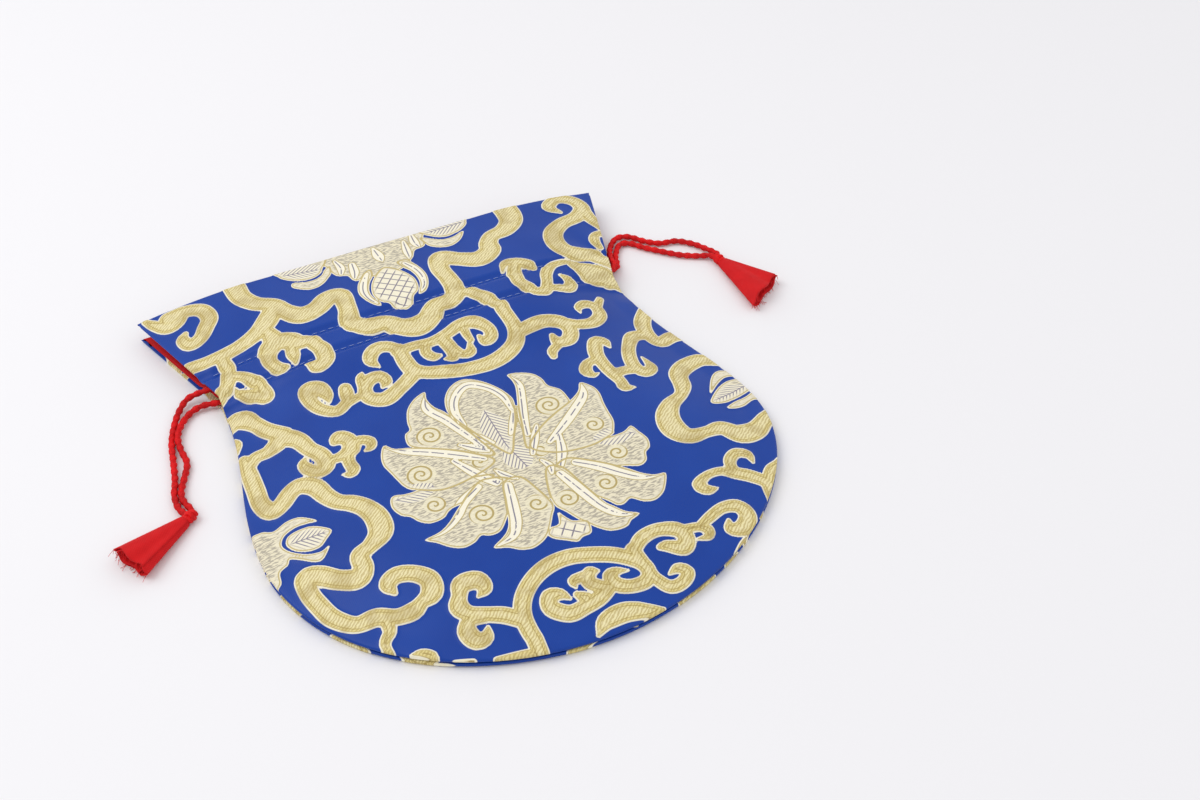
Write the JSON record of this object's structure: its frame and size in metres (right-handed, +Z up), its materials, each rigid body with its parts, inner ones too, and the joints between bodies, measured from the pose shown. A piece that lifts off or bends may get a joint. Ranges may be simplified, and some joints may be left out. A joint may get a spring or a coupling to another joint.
{
  "type": "brocade drawstring pouch",
  "caption": "flat round-bottomed drawstring pouch of blue lotus and scroll brocade with red lining, red cords and folded cloth tassels, mouth ajar",
  "frame": {"origin": "on the floor under the middle of the flat pouch: half way across its width and half way from the bottom to the mouth", "axes": "+X across the pouch to the viewer's right, +Y from the round bottom to the mouth, +Z up from the floor through the front cloth"},
  "size_m": [0.2549, 0.2, 0.0133],
  "materials": {
    "blue_brocade": "satin-faced brocade, blue ground with a gold and pale woven figure",
    "red_lining": "plain cloth",
    "red_cord": "soft twisted cord",
    "red_tassel": "plain cloth with a raw end",
    "stitch_thread": "sewing thread"
  },
  "bodies": {
    "root": {"brocade_front": "blue_brocade", "brocade_back": "blue_brocade", "lining_front": "red_lining", "lining_back": "red_lining", "drawcord_left": "red_cord", "drawcord_right": "red_cord", "knot_left": "red_cord", "knot_right": "red_cord", "tassel_left": "red_tassel", "tassel_right": "red_tassel", "casing_seam_front_lower": "stitch_thread", "casing_seam_front_upper": "stitch_thread", "casing_seam_back_lower": "stitch_thread", "casing_seam_back_upper": "stitch_thread"}
  },
  "joints": []
}
